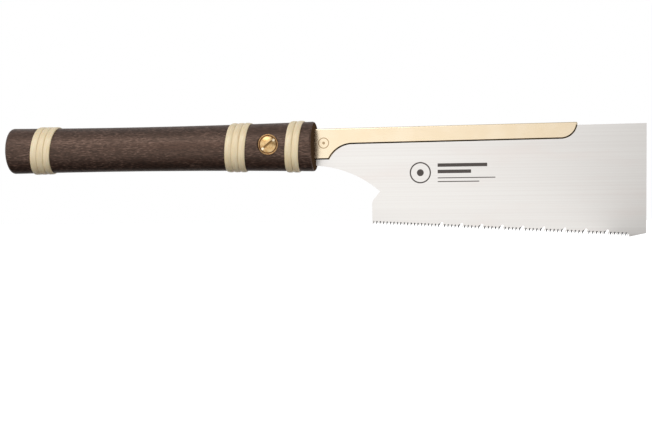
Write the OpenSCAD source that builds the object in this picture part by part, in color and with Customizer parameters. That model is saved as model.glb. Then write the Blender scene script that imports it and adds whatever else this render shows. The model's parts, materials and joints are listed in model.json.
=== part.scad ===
// Japanese pull saw: a round wooden grip of two glued halves bound with three
// rattan wraps, and a brass-backed steel blade that slides into the grip and is
// clamped there by a slotted screw.
//
// +X runs along the grip from the butt to the toe of the blade, the teeth face
// -Z, and the blade lies in the XZ plane. The origin is the centre of the butt.

/* [Handle] */
// Length of the handle from the butt to the front face
handle_len = 241.7; // [230:0.1:300]
// Height of the handle at its waist
waist_h = 34.2; // [33:0.1:40]
// Distance of the waist from the butt
waist_x = 92; // [60:1:120]
// Radius of the long hollow curve along the handle
hollow_r = 6300; // [6000:100:30000]
// Radius of the edge round the butt
butt_round = 3; // [1:0.1:5]
// Radius of the edge round the front face
front_round = 1.6; // [0.5:0.1:3]

/* [Rattan wraps] */
// Distance of the middle of the butt wrap from the butt
butt_wrap_x = 29.2; // [20:0.1:40]
// Distance of the middle of the middle wrap from the butt
middle_wrap_x = 183.2; // [150:0.1:188]
// Distance of the middle of the front wrap from the butt
front_wrap_x = 226.9; // [226:0.1:230]
// Width taken by one strand of cane
cane_w = 5.2; // [3:0.1:5.3]
// Thickness of the cane at the middle of a strand
cane_t = 1.2; // [0.8:0.1:1.6]
// Angle at which the butt wrap leans towards the toe
butt_wrap_lean = 4; // [0:0.1:5]
// Angle at which the middle wrap leans towards the toe
middle_wrap_lean = 2.1; // [0:0.1:5]
// Angle at which the front wrap leans towards the toe
front_wrap_lean = 1.7; // [0:0.1:3]

/* [Blade] */
// Angle of the spine above the axis of the handle
blade_pitch = 0.5; // [0:0.1:1]
// Height of the middle of the tang above the handle axis at the front face
tang_z = 1.55; // [0:0.05:2]
// Thickness of the steel
blade_t = 0.5; // [0.3:0.05:0.8]
// Distance from the front of the handle to the top of the toe
blade_reach = 246.5; // [240:0.5:270]
// Drop of the blade's top edge below the top of the brass
blade_drop = 2.2; // [1.8:0.1:3]
// Distance from the front of the handle to the first tooth
heel_u = 42.9; // [38:0.1:48]
// Depth of the blade at the first tooth, below the middle of the tang
heel_v = 61.8; // [55:0.1:65]
// Angle between the tooth line and the spine
tooth_line = 3.54; // [2:0.01:5]
// Radius of the hollow sweep between the handle and the heel
sweep_r = 82; // [78:1:86]

/* [Teeth] */
// Pitch of the finest teeth, at the heel
tooth_pitch = 1.3; // [1.2:0.01:1.4]
// Growth of the pitch from one group of teeth to the next
pitch_step = 0.01; // [0:0.005:0.015]
// Depth of a tooth
tooth_h = 2.4; // [1.5:0.1:2.5]
// Place of a tooth's point along its pitch, counted from the handle
tooth_lean = 0.15; // [0.05:0.05:0.5]
// Number of teeth before the first raker gullet
heel_teeth = 39; // [30:1:45]
// Number of teeth in a group between two gullets
group_teeth = 10; // [6:1:12]
// Number of teeth after the last gullet
toe_teeth = 11; // [6:1:12]
// Number of raker gullets
gullets = 9; // [0:1:9]
// Width of a raker gullet
gullet_w = 1.8; // [1.4:0.1:2.2]
// Depth of a raker gullet, from the tooth points
gullet_h = 4.4; // [2.5:0.1:5]

/* [Brass back] */
// Thickness of the folded brass
back_t = 3; // [2.4:0.1:3.4]
// Distance from the front of the handle to the nose of the brass
back_len = 196.7; // [150:0.1:220]
// Height of the brass where it enters the handle
back_root_h = 23.4; // [20:0.1:23.6]
// Height of the brass along the blade
back_h = 12.2; // [10:0.1:14]
// Length of the full-height root in front of the handle
root_len = 10.7; // [6:0.1:20]
// Radius of the hollow curve from the root to the narrow part
root_r = 20; // [16:1:30]
// Length of the tang inside the handle
tang_len = 50; // [44:1:52]
// Height of the tang at its rear end
tang_end_h = 16; // [14:0.5:20]

/* [Clamp] */
// Distance of the clamp screw behind the front of the handle
screw_back = 33.1; // [32:0.1:34]
// Radius of the screw shank
shank_r = 2.5; // [2:0.1:2.6]
// Radius of the screw head
head_r = 6.25; // [5.8:0.05:6.3]
// Outer radius of the cup washers
washer_r = 8; // [7.5:0.1:8.2]
// Width of the screwdriver slot
slot_w = 1.7; // [1.2:0.1:2]
// Angle of the screwdriver slot above the handle axis
slot_angle = 38; // [0:1:90]

/* [Hidden] */

eps = 0.02;                           // working gap between two pieces of one body
round_fn = 96;                        // facets of turned shapes
side_steps = 20;                      // straight steps along the handle's hollow curve
cane_steps = 32;                      // straight steps round one turn of cane
cane_lift = 0.1;                      // cane's inner face above the wood, so that no step cuts in
strand_gap = 0.1;                     // gap between neighbouring strands
back_top = back_root_h / 2;           // top of the brass, above the middle of the tang
back_low = back_top - back_h;         // lower edge of the narrow brass
blade_top = back_top - blade_drop;    // top edge of the steel
shoulder_u = 0.6;                     // steel shoulder, just clear of the front face
sweep_cu = -5.3;                      // centre of the sweep, along the spine
sweep_cv = -98;                       // centre of the sweep, below the tang's middle
sweep_end = 48.4;                     // angle of the sweep at the re-entrant corner
heel_slope = 50;                      // slope of the heel below the re-entrant corner
heel_r = 6;                           // round from that slope into the upright rear edge
toe_flat = 12.3;                      // untoothed edge between the last tooth and the toe
toe_rise = 2.3;                       // how far that edge rises towards the toe
gullet_lean = 0.5;                    // how far the top of a gullet leans towards the toe
nose_round = 1.2;                     // round on the upper corner of the brass nose
rivet_r = 1.5;
rivet_u = -12;                        // rivets, along the spine from the front face
rivet_v = 6;                          // rivets, above and below the middle of the tang
liner_t = 0.8;                        // sheet of the steel channel in the mortise
liner_gap = 0.1;                      // side play of the tang in the channel
liner_len = 54;
liner_h = 24;
liner_in = back_t / 2 + liner_gap;    // inner face of the channel, from the blade plane
liner_out = liner_in + liner_t;
mortise_gap = 0.05;                   // glue gap between channel and wood
seat_t = 15.5;                        // flat seat of a cup washer, from the blade plane
rim_t = 17.1;                         // top of a washer's rim
rim_w = 1.3;
cup_low = 13.5;                       // lowest face of a washer's cup
cup_top = 16.2;                       // where the cup's cone meets the rim
cup_slope = 0.62;                     // fall of the cone for each millimetre inwards
cone_gap = 0.06;                      // play between a head and its cup
dome_h = 1.4;
head_edge = 16.9;                     // where the dome starts
slot_h = 1.8;                         // depth of the screwdriver slot
sleeve_r = 3.6;                       // outer radius of the nut's sleeve
sleeve_start = 2.7;                   // open end of the sleeve, from the blade plane
thread_gap = 0.05;                    // running clearance of the shank in the sleeve
shank_end = 14.3;                     // tip of the screw, beyond the blade plane
bore_end = 14.9;                      // blind end of the sleeve's bore
screw_x = handle_len - screw_back * cos(blade_pitch);
screw_z = tang_z - screw_back * sin(blade_pitch);

wood = "#4a342c";
cane = "#e8d5a8";
brass = "#e3c587";
screw_brass = "#d9a860";
steel = "#cfcbc6";

// Points of an arc about [u, v], from angle a0 to angle a1.
function arc(u, v, r, a0, a1, n = 12) =
    [for (i = [0:n]) let (a = a0 + (a1 - a0) * i / n) [u + r * cos(a), v + r * sin(a)]];

// Half the height of the handle at a distance x from the butt.
function half_h(x) = waist_h / 2 + pow(x - waist_x, 2) / (2 * hollow_r);

// Turns a 2D profile, [radius, distance], about the handle's axis.
module turned_handle() {
    rotate([0, 90, 0]) rotate_extrude($fn = round_fn) children();
}

// Extrudes a 2D outline drawn in the blade's own plane, centred on that plane.
module in_blade_plane(t) {
    translate([handle_len, 0, tang_z]) rotate([0, -blade_pitch, 0])
        rotate([90, 0, 0]) linear_extrude(height = t, center = true) children();
}

// Turns a 2D profile, [radius, height above the blade plane], about the screw axis.
// side -1 is the screw's side of the handle and side 1 the nut's.
module turned_screw(side) {
    translate([screw_x, 0, screw_z]) rotate([-90 * side, 0, 0])
        rotate_extrude($fn = round_fn) children();
}

// Handle ------------------------------------------------------------------

module handle_profile() {
    side_end = handle_len - front_round;
    side = [for (i = [0:side_steps])
        let (x = butt_round + (side_end - butt_round) * i / side_steps) [half_h(x), x]];
    butt = arc(half_h(butt_round) - butt_round, butt_round, butt_round, -90, -10, 8);
    front = arc(half_h(side_end) - front_round, side_end, front_round, 10, 90, 6);
    polygon(concat([[0, 0]], butt, side, front, [[0, handle_len]]));
}

// Hole through one half for the screw or the nut, with the washer's stepped seat.
module clamp_hole(side, r) {
    beyond = half_h(0) + 2;
    turned_screw(side) polygon([[0, -1], [r, -1], [r, cup_low - 0.1], [4.4, cup_low - 0.1],
        [6.9, seat_t], [washer_r + 0.1, seat_t], [washer_r + 0.1, beyond], [0, beyond]]);
}

module handle_half(side, hole_r) {
    size = 2 * half_h(handle_len);
    color(wood) difference() {
        turned_handle() handle_profile();
        translate([-1, side < 0 ? 0 : -size, -size]) cube([handle_len + 2, size, 2 * size]);
        in_blade_plane(2 * (liner_out + mortise_gap))
            translate([-liner_len - 1, -liner_h / 2 - 0.1]) square([liner_len + 3, liner_h + 0.2]);
        clamp_hole(side, hole_r);
    }
}

module handle_near_half() { handle_half(-1, shank_r + 0.5); }

module handle_far_half() { handle_half(1, sleeve_r + 0.15); }

// Rattan wraps ------------------------------------------------------------

// Point of a wound cane: t turns from its end behind the handle, w along the
// handle from the middle of the strand, and d above the wood. The wrap leans.
function cane_point(start, lean, t, w, d) =
    let (x = start + t * cane_w + w - tan(lean) * half_h(start) * sin(360 * t), h = half_h(x))
    [x, (h + d) * cos(360 * t), -(h + d) * sin(360 * t)];

// Cane wound side by side, with a crowned outer face. Both of its ends lie behind.
module rattan_wrap(middle, turns, lean) {
    half_w = (cane_w - strand_gap) / 2;
    section = [[-half_w, cane_lift], [half_w, cane_lift], [half_w, cane_t * 0.55],
        [half_w * 0.4, cane_t], [-half_w * 0.4, cane_t], [-half_w, cane_t * 0.55]];
    n = len(section);
    rings = turns * cane_steps;
    points = [for (i = [0:rings], p = section)
        cane_point(middle - turns * cane_w / 2, lean, i / cane_steps, p[0], p[1])];
    sides = [for (i = [0:rings - 1], j = [0:n - 1])
        let (a = i * n + j, b = i * n + (j + 1) % n) each [[a, b, b + n], [a, b + n, a + n]]];
    ends = [[for (j = [n - 1:-1:0]) j], [for (j = [0:n - 1]) rings * n + j]];
    color(cane) polyhedron(points, concat(sides, ends));
}

module rattan_wrap_butt() { rattan_wrap(butt_wrap_x, 3, butt_wrap_lean); }

module rattan_wrap_middle() { rattan_wrap(middle_wrap_x, 3, middle_wrap_lean); }

module rattan_wrap_front() { rattan_wrap(front_wrap_x, 2, front_wrap_lean); }

// Clamp -------------------------------------------------------------------

// Two side plates joined by a web at the rear, lining the mortise.
module tang_liner() {
    color(steel) difference() {
        in_blade_plane(2 * liner_out)
            translate([-liner_len, -liner_h / 2]) square([liner_len - 0.5, liner_h]);
        in_blade_plane(2 * liner_in)
            translate([-liner_len + liner_t, -liner_h]) square([liner_len, 2 * liner_h]);
        translate([screw_x, 0, screw_z]) rotate([90, 0, 0])
            cylinder(r = shank_r + 0.3, h = 4 * liner_out, center = true, $fn = round_fn);
    }
}

// A stamped washer whose cone cradles the head and whose rim stands round it.
module cup_washer(side, hole_r) {
    inner = washer_r - rim_w;
    hole_top = cup_top - (inner - hole_r) * cup_slope;
    color(screw_brass) turned_screw(side) polygon([[hole_r, cup_low], [hole_r, hole_top],
        [inner, cup_top], [inner, rim_t - 0.3], [inner + 0.3, rim_t], [washer_r - 0.4, rim_t],
        [washer_r, rim_t - 0.4], [washer_r, seat_t + 0.05], [inner, seat_t + 0.05],
        [4.3, cup_low]]);
}

// A raised head on a stem, as a 2D profile. The stem ends at height stem_end.
module headed_profile(stem_r, stem_end) {
    edge = cup_top - (washer_r - rim_w - head_r) * cup_slope + cone_gap;
    stem_top = edge - (head_r - stem_r) * cup_slope;
    dome_r = (pow(head_r, 2) + pow(dome_h, 2)) / (2 * dome_h);
    span = asin(head_r / dome_r);
    polygon(concat([[0, stem_end], [stem_r, stem_end], [stem_r, stem_top], [head_r, edge]],
        arc(0, head_edge + dome_h - dome_r, dome_r, 90 - span, 90, 10)));
}

module driver_slot(side, angle) {
    translate([screw_x, side * (head_edge + dome_h), screw_z]) rotate([0, -angle, 0])
        cube([4 * head_r, 2 * slot_h, slot_w], center = true);
}

module clamp_screw() {
    color(screw_brass) difference() {
        turned_screw(-1) headed_profile(shank_r, -shank_end);
        driver_slot(-1, slot_angle);
    }
}

module screw_cup_washer() { cup_washer(-1, shank_r + 0.3); }

module barrel_nut() {
    color(screw_brass) difference() {
        turned_screw(1) headed_profile(sleeve_r, sleeve_start);
        driver_slot(1, 0);
        turned_screw(1) translate([0, sleeve_start - 1])
            square([shank_r + thread_gap, bore_end - sleeve_start + 1]);
    }
}

module nut_cup_washer() { cup_washer(1, sleeve_r + 0.1); }

// Blade and back ----------------------------------------------------------

// Lower edge of the toothed part, as [distance along the tooth line, height above it].
function pitch_of(g) = tooth_pitch + pitch_step * g;
function teeth_of(g) = g == 0 ? heel_teeth : g == gullets ? toe_teeth : group_teeth;
function group_start(g) =
    g == 0 ? 0 : group_start(g - 1) + teeth_of(g - 1) * pitch_of(g - 1) + gullet_w;
function tooth_group(g) =
    let (p = pitch_of(g), s0 = group_start(g))
    [for (i = [0:teeth_of(g) - 1], k = [0:1])
        k == 0 ? [s0 + i * p + tooth_lean * p, 0] : [s0 + (i + 1) * p, tooth_h]];
function gullet_after(g) =
    let (s = group_start(g + 1) - gullet_w, r = gullet_w / 2)
    arc(s + r + 0.3 + gullet_lean, gullet_h - r, r, 160, 20, 6);
function tooth_edge() =
    [for (g = [0:gullets]) each concat(tooth_group(g), g < gullets ? gullet_after(g) : [])];
// The same point in the blade's own plane.
function on_tooth_line(p) =
    [heel_u + p[0] * cos(tooth_line) + p[1] * sin(tooth_line),
     -heel_v - p[0] * sin(tooth_line) + p[1] * cos(tooth_line)];

module blade_outline() {
    heel_top = [sweep_cu + sweep_r * cos(sweep_end), sweep_cv + sweep_r * sin(sweep_end)];
    heel_turn = 90 - heel_slope;
    slope_run = heel_top[0] - heel_u - heel_r * (1 - cos(heel_turn));
    heel_start = heel_top[1] - slope_run * tan(heel_slope) - heel_r * sin(heel_turn);
    toothed = [for (p = tooth_edge()) on_tooth_line(p)];
    last = on_tooth_line([group_start(gullets) + (toe_teeth + tooth_lean) * pitch_of(gullets), 0]);
    shoulder_a = acos((shoulder_u - sweep_cu) / sweep_r);
    polygon(concat(
        [[-tang_len + 2, tang_end_h / 2 - blade_drop], [-4, blade_top], [blade_reach, blade_top],
         [last[0] + toe_flat, last[1] + toe_rise], last],
        [for (i = [len(toothed) - 1:-1:0]) toothed[i]],
        arc(heel_u + heel_r, heel_start, heel_r, 180, 180 - heel_turn, 6),
        arc(sweep_cu, sweep_cv, sweep_r, sweep_end, shoulder_a, 24),
        [[shoulder_u, -back_top + 0.7], [-4, -back_top + 0.7],
         [-tang_len + 2, -tang_end_h / 2 + 0.8]]));
}

module back_outline() {
    hollow_cv = back_low - root_r;
    hollow_a = 180 - asin((-back_top - hollow_cv) / root_r);
    hollow_cu = root_len - root_r * cos(hollow_a);
    polygon(concat(
        [[-tang_len, tang_end_h / 2], [-4, back_top]],
        arc(back_len - nose_round, back_top - nose_round, nose_round, 90, 10, 5),
        arc(back_len - back_h, back_top, back_h, -12, -90, 12),
        arc(hollow_cu, hollow_cv, root_r, 90, hollow_a, 12),
        [[-4, -back_top], [-tang_len, -tang_end_h / 2]]));
}

// Notch that is open at the rear, so that the tang slides off the loosened screw.
module screw_notch() {
    r = shank_r + 0.25;
    translate([-screw_back, 0]) circle(r = r, $fn = round_fn);
    translate([-tang_len - 1, -r]) square([tang_len + 1 - screw_back, 2 * r]);
}

module rivet_holes() {
    for (v = [-rivet_v, rivet_v])
        translate([rivet_u, v]) circle(r = rivet_r + eps, $fn = round_fn);
}

module brass_back() {
    color(brass) difference() {
        in_blade_plane(back_t) difference() {
            back_outline();
            screw_notch();
            rivet_holes();
        }
        in_blade_plane(blade_t + 2 * eps)
            translate([-tang_len - 1, -2 * back_top])
            square([tang_len + back_len + 2, 2 * back_top + blade_top + eps]);
    }
}

module saw_blade() {
    color(steel) in_blade_plane(blade_t) difference() {
        blade_outline();
        screw_notch();
        rivet_holes();
    }
}

module tang_rivet(v) {
    color(steel) in_blade_plane(back_t) translate([rivet_u, v]) circle(r = rivet_r, $fn = round_fn);
}

module tang_rivet_upper() { tang_rivet(rivet_v); }

module tang_rivet_lower() { tang_rivet(-rivet_v); }

handle_near_half();
handle_far_half();
rattan_wrap_butt();
rattan_wrap_middle();
rattan_wrap_front();
tang_liner();
clamp_screw();
screw_cup_washer();
barrel_nut();
nut_cup_washer();
brass_back();
saw_blade();
tang_rivet_upper();
tang_rivet_lower();
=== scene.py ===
import json
import math
import bmesh
import bpy
from mathutils import Matrix, Vector, noise


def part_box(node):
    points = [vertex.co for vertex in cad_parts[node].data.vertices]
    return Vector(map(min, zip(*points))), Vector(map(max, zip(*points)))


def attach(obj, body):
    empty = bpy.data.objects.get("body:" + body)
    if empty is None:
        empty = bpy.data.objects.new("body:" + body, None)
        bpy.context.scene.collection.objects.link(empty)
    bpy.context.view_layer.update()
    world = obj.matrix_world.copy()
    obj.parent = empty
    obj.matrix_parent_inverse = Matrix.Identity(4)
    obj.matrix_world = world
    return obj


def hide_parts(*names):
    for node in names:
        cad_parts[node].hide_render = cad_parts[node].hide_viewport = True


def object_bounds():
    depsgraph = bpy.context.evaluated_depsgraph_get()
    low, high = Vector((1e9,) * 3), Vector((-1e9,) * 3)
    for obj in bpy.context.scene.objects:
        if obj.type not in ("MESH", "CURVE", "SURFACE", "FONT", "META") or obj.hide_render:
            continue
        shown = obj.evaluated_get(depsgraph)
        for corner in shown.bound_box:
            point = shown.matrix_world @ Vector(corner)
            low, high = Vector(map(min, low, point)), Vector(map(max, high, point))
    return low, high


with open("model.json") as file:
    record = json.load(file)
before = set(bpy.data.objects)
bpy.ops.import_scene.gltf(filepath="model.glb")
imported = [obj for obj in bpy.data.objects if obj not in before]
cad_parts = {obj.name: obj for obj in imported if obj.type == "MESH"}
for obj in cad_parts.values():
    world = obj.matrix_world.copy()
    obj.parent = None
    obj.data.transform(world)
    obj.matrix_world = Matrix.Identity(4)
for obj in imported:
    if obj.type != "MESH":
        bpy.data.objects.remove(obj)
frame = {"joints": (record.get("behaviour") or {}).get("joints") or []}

# Japanese pull saw. Lengths are in millimetres until a mesh is made, where MM turns
# them into metres. +X runs along the handle to the toe, +Z is up, and the blade lies
# in the XZ plane. "Near" is the -Y side, with the screw's head.

MM = 0.001
cad_low, cad_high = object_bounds()

# Handle
WAIST_H = 34.2          # diameter at its waist
WAIST_X = 92            # its distance from the butt
HOLLOW_R = 6300         # radius of the long hollow curve
BUTT_ROUND = 3.0
FRONT_ROUND = 1.6
GLUE_CHAMFER = 0.22     # broken edge along the glue line
GLUE_GAP = 0.015        # half the glue line
WEAR = 0.035            # how far the surface is worn in at most
MORTISE_U = -55         # rear end of the mortise
MORTISE_H = 12.1        # half its height
MORTISE_T = 2.45        # half its width

# Cane
CANE_W = 5.2
CANE_T = 1.18           # outer face above the wood
CANE_LOW = 0.08         # inner face above the wood

# Blade unit, measured along and above the spine from the handle's front face
BLADE_T = 0.5
BACK_T = 3.0
BACK_TOP = 11.7         # top of the brass; by the handle it reaches as far down
BACK_H = 12.2           # height of the narrow part of the brass
BACK_LEN = 196.7
ROOT_LEN = 10.7         # full-height brass in front of the handle
ROOT_R = 20.0           # hollow from there up to the narrow part
FOLD_ROUND = 0.9        # round of the fold, along the top of the brass
NOSE_ROUND = 1.2
EDGE = 1.05             # chamfer filed along the lower edge of the brass
TANG_LEN = 50.0
TANG_START = -4         # where the tang begins to taper
TANG_END = 8.0          # half the height of the tang's rear end
BLADE_TOP = 9.5         # top of the steel, inside the fold
TOE_U = 246.5
HEEL_U = 42.9           # upright rear edge of the heel
HEEL_V = 61.8           # start of the tooth line there, below the spine
TOOTH_LINE = math.radians(3.54)  # slope of the toothed edge
SHOULDER_U = 0.6        # steel shoulder, just clear of the handle
SWEEP = (-5.3, -98.0, 82.0)  # centre and radius of the hollow between handle and heel
SWEEP_END = 48.4        # its angle at the re-entrant corner
HEEL_SLOPE = 50         # slope of the heel below that corner, in degrees
HEEL_R = 6              # round from the slope into the heel's upright edge
RIVET_U = -12
RIVET_V = 6             # rivets, above and below the middle of the tang
RIVET_R = 1.5

# Teeth
PITCH = 1.3             # at the heel
PITCH_STEP = 0.01       # and how much it grows from group to group
TOOTH_H = 2.4
TOOTH_FLAT = 0.07       # half the flat between two teeth, as a part of the pitch
LEAN = 0.15             # place of a tooth's point, as a part of the pitch
TEETH = [39] + [10] * 8 + [11]
GULLET_W = 1.8
GULLET_H = 4.4
GULLET_LEAD = 0.3       # space between the last tooth and a gullet
GULLET_LEAN = 0.5       # how far the top of a gullet leans towards the toe
TOE_FLAT = 12.3         # untoothed edge between the last tooth and the toe
TOE_RISE = 2.3
FILED = 0.72            # width of the bevel filed on each flank of a tooth
FILED_RISE = 0.85       # how far the file marks run up past the root of a tooth
TOOTH_SET = 0.12        # how far a point is bent out of the blade's face

# Clamp
SCREW_BACK = 33.1       # screw's axis, behind the handle's front face
SHANK_R = 2.5
NUT_R = 3.6
NUT_LOW = 2.7           # inner end of the nut, from the blade's plane
SHANK_END = 14.3        # tip of the screw, beyond the blade's plane
THREAD_START = 3.0      # where the thread runs out, on the head's side
THREAD_PITCH = 0.8
THREAD_DEPTH = 0.42
HEAD_R = 6.25
WASHER_R = 8.0
RIM_W = 1.3
SEAT_T = 15.5           # seat of a washer's rim, from the blade's plane
CUP_LOW = SEAT_T - 2.0  # inner end of a cup washer
CUP_TOP = SEAT_T + 0.7  # where its cone meets its rim
RIM_TOP = SEAT_T + 1.6
CUP_SLOPE = 0.62        # rise of the cone for its width
HEAD_EDGE = SEAT_T + 1.4
DOME = 1.4              # height of a head's dome above its edge
SLOT_W = 1.7
SLOT_H = 1.8
SCREW_SLOT_ANGLE = math.radians(38)

BEHIND = 0.75           # strength of the surround behind the saw

# Marks: middle from the handle's front and axis, ring, line, dot, and bars as
# (low, high, start, end) from the middle
BLADE_MARK = (80, -21, 8, 1.0, 2.6,
              [(4.2, 6.8, 13, 50), (-0.6, 2.0, 13, 38), (-4.4, -3.7, 13, 56), (-7.2, -6.5, 13, 44)])
BRASS_MARK = (6.8, 2.4, 4.2, 0.7, 1.1, [])


# Places read from the frame ------------------------------------------------------

def joint(name):
    """The frame's joint of that name."""
    return next(j for j in frame["joints"] if j["name"] == name)


def middle_x(node):
    """The middle of a CAD node along the handle."""
    low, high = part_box(node)
    return (low.x + high.x) / 2 / MM


HANDLE_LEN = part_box("handle_near_half")[1].x / MM
SCREW_X, SCREW_Z = (joint("screw_turn")["pos_m"][i] / MM for i in (0, 2))
ALONG = Vector(joint("blade_slide")["axis"])
ABOVE = Vector((-ALONG.z, 0, ALONG.x))
SPINE = Vector((SCREW_X, 0, SCREW_Z)) + ALONG * SCREW_BACK


def half_h(x):
    """Half the height of the handle at a distance x from the butt."""
    return WAIST_H / 2 + (x - WAIST_X) ** 2 / (2 * HOLLOW_R)


def in_blade(u, v, y=0.0):
    """A point given along and above the blade's spine."""
    return SPINE + ALONG * u + ABOVE * v + Vector((0, y, 0))


def arc(u, v, r, start, end, steps):
    """Points of an arc about (u, v), from the start to the end angle in degrees."""
    angles = [math.radians(start + (end - start) * i / steps) for i in range(steps + 1)]
    return [(u + r * math.cos(a), v + r * math.sin(a)) for a in angles]


# Mesh helpers --------------------------------------------------------------------

def mesh_object(name, points, faces, smooth_deg=32):
    """A shaded object from points in millimetres."""
    mesh = bpy.data.meshes.new(name)
    mesh.from_pydata([Vector(p) * MM for p in points], [], faces)
    piece = bpy.data.objects.new(name, mesh)
    bpy.context.scene.collection.objects.link(piece)
    bm = bmesh.new()
    bm.from_mesh(mesh)
    bmesh.ops.recalc_face_normals(bm, faces=bm.faces)
    bm.to_mesh(mesh)
    bm.free()
    shade(piece, smooth_deg)
    return piece


def shade(piece, smooth_deg=32):
    """Smooth shading, sharp where faces meet at more than smooth_deg."""
    mesh = piece.data
    mesh.polygons.foreach_set("use_smooth", [True] * len(mesh.polygons))
    mesh.set_sharp_from_angle(angle=math.radians(smooth_deg))
    mesh.update()


def ring_faces(rings, size):
    """Quads between successive rings of points, each ring holding size points."""
    faces = []
    for i in range(rings - 1):
        for j in range(size):
            a = i * size + j
            b = i * size + (j + 1) % size
            faces.append((a, b, b + size, a + size))
    return faces


def loft(name, rings, smooth_deg=32):
    """A closed solid through rings of points, capped at both ends."""
    size = len(rings[0])
    points = [p for ring in rings for p in ring]
    faces = ring_faces(len(rings), size)
    faces.append(tuple(range(size)))
    faces.append(tuple(range((len(rings) - 1) * size, len(rings) * size)))
    return mesh_object(name, points, faces, smooth_deg)


def apply_modifiers(piece):
    """Replaces the mesh by what its modifiers make of it."""
    graph = bpy.context.evaluated_depsgraph_get()
    graph.update()
    mesh = bpy.data.meshes.new_from_object(piece.evaluated_get(graph))
    old = piece.data
    piece.modifiers.clear()
    piece.data = mesh
    mesh.name = piece.name
    bpy.data.meshes.remove(old)


def cut(piece, *cutters):
    """Cuts the cutters out of the piece, and deletes them."""
    for cutter in cutters:
        hole = piece.modifiers.new("cut", "BOOLEAN")
        hole.operation = "DIFFERENCE"
        hole.solver = "EXACT"
        hole.object = cutter
        apply_modifiers(piece)
        old = cutter.data
        bpy.data.objects.remove(cutter)
        bpy.data.meshes.remove(old)


def ease_edges(piece, width, limit_deg):
    """Rounds every edge that is sharper than limit_deg."""
    bevel = piece.modifiers.new("ease", "BEVEL")
    bevel.width = width * MM
    bevel.segments = 2
    bevel.limit_method = "ANGLE"
    bevel.angle_limit = math.radians(limit_deg)
    bevel.use_clamp_overlap = True
    apply_modifiers(piece)
    shade(piece)


def two_looks(piece, look, other, is_other):
    """Two materials on one piece: the other one where is_other(face) says so."""
    piece.data.materials.clear()
    piece.data.materials.append(look)
    piece.data.materials.append(other)
    for face in piece.data.polygons:
        face.material_index = int(is_other(face))


def keep_flats_flat(piece):
    """Turns the shading normals so that the big flat faces look flat up to their edges."""
    normals = piece.modifiers.new("normals", "WEIGHTED_NORMAL")
    normals.keep_sharp = True
    normals.weight = 90
    apply_modifiers(piece)


def finish_piece(piece, body, slot, look, *nodes):
    """Gives a piece its material, and hangs it on its body in place of CAD nodes."""
    if not piece.data.materials:
        piece.data.materials.append(look)
    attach(piece, body)
    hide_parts(*nodes)


def about_screw(profile, side, steps=96, thread=None):
    """Rings about the screw's axis from (radius, distance from the blade's plane) pairs."""
    rings = []
    for r, h in profile:
        ring = []
        for k in range(steps):
            turn = k / steps
            reach = r - (thread(h, turn) if thread else 0)
            a = 2 * math.pi * turn
            ring.append((SCREW_X + reach * math.cos(a), side * h, SCREW_Z + reach * math.sin(a)))
        rings.append(ring)
    return rings


def prism(name, outline, low, high):
    """A plain cutter: an outline in the blade's plane, between two depths along Y."""
    return loft(name, [[in_blade(u, v, y) for u, v in outline] for y in (low, high)])


def box_outline(u0, u1, v0, v1):
    """A rectangle in the blade's plane."""
    return [(u0, v0), (u1, v0), (u1, v1), (u0, v1)]


# Node helpers --------------------------------------------------------------------

class Nodes:
    """Short calls that add and link shader nodes in one tree."""

    def __init__(self, tree):
        self.tree = tree

    def add(self, kind, inputs=None, **settings):
        made = self.tree.nodes.new(kind)
        for key, value in settings.items():
            setattr(made, key, value)
        for key, value in (inputs or {}).items():
            if isinstance(value, bpy.types.NodeSocket):
                self.tree.links.new(value, made.inputs[key])
            else:
                made.inputs[key].default_value = value
        return made

    def math(self, kind, a, b=0.0):
        return self.add("ShaderNodeMath", {0: a, 1: b}, operation=kind).outputs[0]

    def stretch(self, vector, scale, offset=(0, 0, 0)):
        inputs = {"Vector": vector, "Scale": scale, "Location": offset}
        return self.add("ShaderNodeMapping", inputs).outputs[0]

    def noise(self, vector, detail, rough=0.5):
        inputs = {"Vector": vector, "Scale": 1.0, "Detail": detail, "Roughness": rough}
        return self.add("ShaderNodeTexNoise", inputs).outputs["Fac"]

    def cells(self, vector):
        inputs = {"Vector": vector, "Scale": 1.0, "Randomness": 1.0}
        return self.add("ShaderNodeTexVoronoi", inputs).outputs["Distance"]

    def span(self, value, a, b, low=0.0, high=1.0):
        """Smoothly maps value from a..b to low..high."""
        inputs = {"Value": value, "From Min": a, "From Max": b, "To Min": low, "To Max": high}
        made = self.add("ShaderNodeMapRange", inputs, interpolation_type="SMOOTHSTEP")
        return made.outputs[0]

    def mix(self, factor, a, b):
        """Colour a where factor is 0, and colour b where it is 1."""
        made = self.add("ShaderNodeMix", data_type="RGBA")
        for index, value in ((0, factor), (6, a), (7, b)):
            if isinstance(value, bpy.types.NodeSocket):
                self.tree.links.new(value, made.inputs[index])
            else:
                made.inputs[index].default_value = value
        return made.outputs[2]

    def bump(self, height, distance, strength):
        inputs = {"Height": height, "Distance": distance * MM, "Strength": strength}
        return self.add("ShaderNodeBump", inputs).outputs[0]

    def place(self):
        """Position on the piece, in metres."""
        return self.add("ShaderNodeTexCoord").outputs["Object"]

    def axes(self, vector):
        """The three parts of a vector."""
        return self.add("ShaderNodeSeparateXYZ", {0: vector}).outputs


def rgb(text):
    """Linear colour from an sRGB hex string."""
    values = [int(text[i:i + 2], 16) / 255 for i in (0, 2, 4)]
    return tuple(((v + 0.055) / 1.055) ** 2.4 if v > 0.04 else v / 12.92 for v in values) + (1.0,)


def surface(name, **sockets):
    """A new Principled material: its material, node helper and shader."""
    look = bpy.data.materials.new(name)
    look.use_nodes = True
    shader = look.node_tree.nodes["Principled BSDF"]
    for key, value in sockets.items():
        shader.inputs[key.replace("_", " ")].default_value = value
    return look, Nodes(look.node_tree), shader


def connect(nodes, shader, **links):
    """Links node outputs to the shader's sockets of these names."""
    for key, socket in links.items():
        nodes.tree.links.new(socket, shader.inputs[key.replace("_", " ")])


# Materials -----------------------------------------------------------------------

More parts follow.
